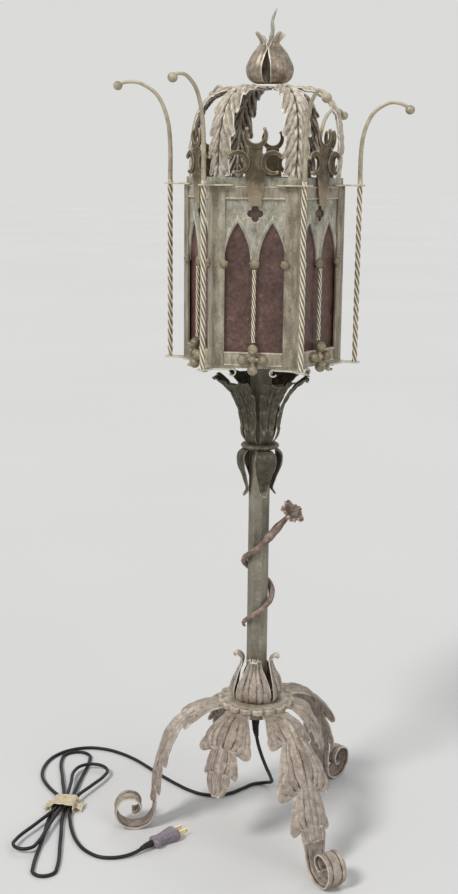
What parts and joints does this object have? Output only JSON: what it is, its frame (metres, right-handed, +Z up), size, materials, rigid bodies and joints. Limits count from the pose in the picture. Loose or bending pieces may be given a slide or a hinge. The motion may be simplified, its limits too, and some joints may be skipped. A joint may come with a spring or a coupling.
{
  "type": "lantern floor lamp",
  "caption": "Wrought-iron floor lamp: a six-sided mica lantern with a leaf crown on an octagonal stem, twisted rods, and three scrolled acanthus feet.",
  "frame": {"origin": "on the floor, on the stem's axis, within a few millimetres of the centre of the lamp's footprint", "axes": "+Z up along the stem, +X to the right and -Y towards the viewer in front of one lantern face"},
  "size_m": [0.5295, 0.3855, 1.1044],
  "materials": {
    "aged_iron": "matt, worn grey-green",
    "leaf_iron": "matt, worn, pinkish grey",
    "tan_iron": "worn dull gilt over iron",
    "mica": "mottled amber brown",
    "brass": "dull brass",
    "nickel": "satin",
    "bakelite": "satin brown-black",
    "bulb_glass": "frosted",
    "cord_rubber": "satin black",
    "tape": "crumpled, cream",
    "plug_plastic": "satin grey"
  },
  "bodies": {
    "lamp": {"leg_left": "leaf_iron", "leg_front": "leaf_iron", "leg_rear": "leaf_iron", "short_leaf_front": "leaf_iron", "short_leaf_right": "leaf_iron", "short_leaf_rear": "leaf_iron", "base_ring": "leaf_iron", "hub_disc": "aged_iron", "hub_nut": "brass", "cord_bushing": "bakelite", "base_calyx": "leaf_iron", "threaded_tube": "brass", "stem_pipe": "aged_iron", "stem_vine": "aged_iron", "vine_blossom": "aged_iron", "neck_collar": "aged_iron", "upper_calyx": "aged_iron", "capital_leaves": "leaf_iron", "lantern_floor": "aged_iron", "floor_nut": "brass", "bottom_rail": "aged_iron", "top_rail": "aged_iron", "top_rim": "aged_iron", "corner_posts": "aged_iron", "mica_panes": "mica", "mullions": "tan_iron", "arch_studs": "tan_iron", "ball_crosses": "tan_iron", "bottom_brackets": "aged_iron", "top_brackets": "aged_iron", "cresting": "aged_iron", "crown_straps": "leaf_iron", "crown_plate": "aged_iron", "finial_bud": "leaf_iron", "finial_spike": "aged_iron", "socket_cap": "brass", "socket_shell": "brass", "screw_shell": "nickel", "bulb_base": "nickel", "bulb_glass": "bulb_glass", "inner_cord": "cord_rubber", "cord_run": "cord_rubber", "cord_hank": "cord_rubber", "cord_lead": "cord_rubber", "cord_tie": "tape", "plug_body": "plug_plastic", "plug_blades": "brass", "tracery_1": "aged_iron", "tracery_2": "aged_iron", "tracery_3": "aged_iron", "tracery_4": "aged_iron", "tracery_5": "aged_iron", "tracery_6": "aged_iron", "rod_1": "tan_iron", "rod_2": "tan_iron", "rod_3": "tan_iron", "rod_4": "tan_iron", "rod_5": "tan_iron", "rod_6": "tan_iron"},
    "switch_key": {"switch_key": "bakelite"}
  },
  "joints": [
    {"name": "switch_turn", "type": "hinge", "parent": "lamp", "child": "switch_key", "pos_m": [0.017, 0, 0.7005], "axis": [1, 0, 0], "continuous": true}
  ]
}
